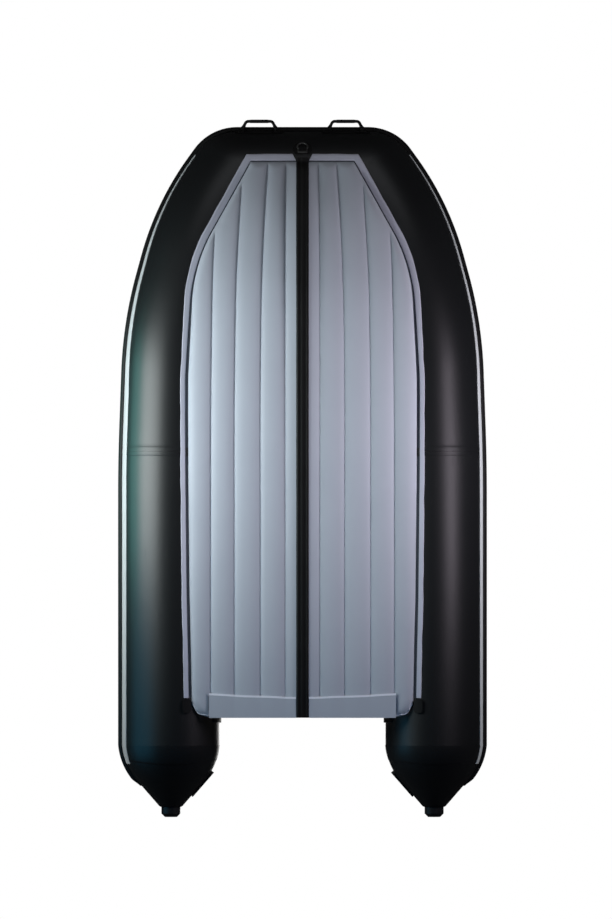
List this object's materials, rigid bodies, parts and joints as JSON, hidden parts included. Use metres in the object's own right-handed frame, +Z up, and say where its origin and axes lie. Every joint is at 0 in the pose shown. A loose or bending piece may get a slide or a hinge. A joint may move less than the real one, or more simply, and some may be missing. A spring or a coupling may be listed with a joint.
{
  "type": "inflatable boat",
  "caption": "Inflatable dinghy with a U-shaped air tube, tail cones, ribbed air floor with a keel strip, plywood transom, sliding bench seats and rowlocks.",
  "frame": {"origin": "on the ground under the middle of the boat's box", "axes": "+X to port, +Y aft, towards the tail cones, +Z up; the boat stands on both tubes' sterns and on its keel, the bow about 1.7 degrees up"},
  "size_m": [1.7044, 3.209, 0.8147],
  "materials": {
    "tube_fabric": "black coated fabric, fine grain, satin",
    "floor_fabric": "grey coated fabric, satin",
    "tape": "light grey coated tape, satin",
    "pale_band": "pale grey coated tape, satin",
    "black_rubber": "moulded black, matt",
    "plywood": "plywood sealed with dark grey paint",
    "steel": "stainless, polished",
    "moulded_plastic": "black moulded plastic"
  },
  "bodies": {
    "hull": {"bow_chamber": "tube_fabric", "side_chamber_port": "tube_fabric", "side_chamber_starboard": "tube_fabric", "tail_cone_port": "tube_fabric", "tail_cone_starboard": "tube_fabric", "cone_cap_port": "moulded_plastic", "cone_cap_starboard": "moulded_plastic", "rub_strake": "black_rubber", "strake_band": "pale_band", "air_floor": "floor_fabric", "bonding_tape": "tape", "keel_strip": "black_rubber", "stern_flap": "tape", "bow_ring_patch": "black_rubber", "bow_ring": "steel", "bow_handle_port": "moulded_plastic", "bow_handle_starboard": "moulded_plastic", "stern_gusset_port": "black_rubber", "stern_gusset_starboard": "black_rubber", "tow_pad_port": "black_rubber", "tow_pad_starboard": "black_rubber", "transom": "plywood", "motor_pad_outer": "moulded_plastic", "motor_pad_inner": "moulded_plastic", "transom_holder_port": "black_rubber", "transom_holder_starboard": "black_rubber", "drain_valve": "moulded_plastic", "seat_rail_port": "moulded_plastic", "seat_rail_starboard": "moulded_plastic", "rowlock_socket_port": "moulded_plastic", "rowlock_socket_starboard": "moulded_plastic", "side_handle_port": "moulded_plastic", "side_handle_starboard": "moulded_plastic", "side_valve_port": "moulded_plastic", "side_valve_starboard": "moulded_plastic", "bow_valve": "moulded_plastic", "floor_valve": "moulded_plastic"},
    "seat_fore": {"seat_fore": "plywood", "slider_fore_port": "moulded_plastic", "slider_fore_starboard": "moulded_plastic"},
    "seat_aft": {"seat_aft": "plywood", "slider_aft_port": "moulded_plastic", "slider_aft_starboard": "moulded_plastic"},
    "rowlock_port": {"rowlock_port": "steel"},
    "rowlock_starboard": {"rowlock_starboard": "steel"}
  },
  "joints": [
    {"name": "seat_fore_slide", "type": "slide", "parent": "hull", "child": "seat_fore", "axis": [0, 0.9981, -0.0614], "range_m": [-0.1, 0.1]},
    {"name": "seat_aft_slide", "type": "slide", "parent": "hull", "child": "seat_aft", "axis": [0, 0.9981, -0.0614], "range_m": [-0.12, 0.12]},
    {"name": "rowlock_port_swivel", "type": "hinge", "parent": "hull", "child": "rowlock_port", "pos_m": [0.608, 0.52911, 0.53576], "axis": [0, 0.0614, 0.9981], "continuous": true},
    {"name": "rowlock_starboard_swivel", "type": "hinge", "parent": "hull", "child": "rowlock_starboard", "pos_m": [-0.608, 0.52911, 0.53576], "axis": [0, 0.0614, 0.9981], "continuous": true}
  ]
}
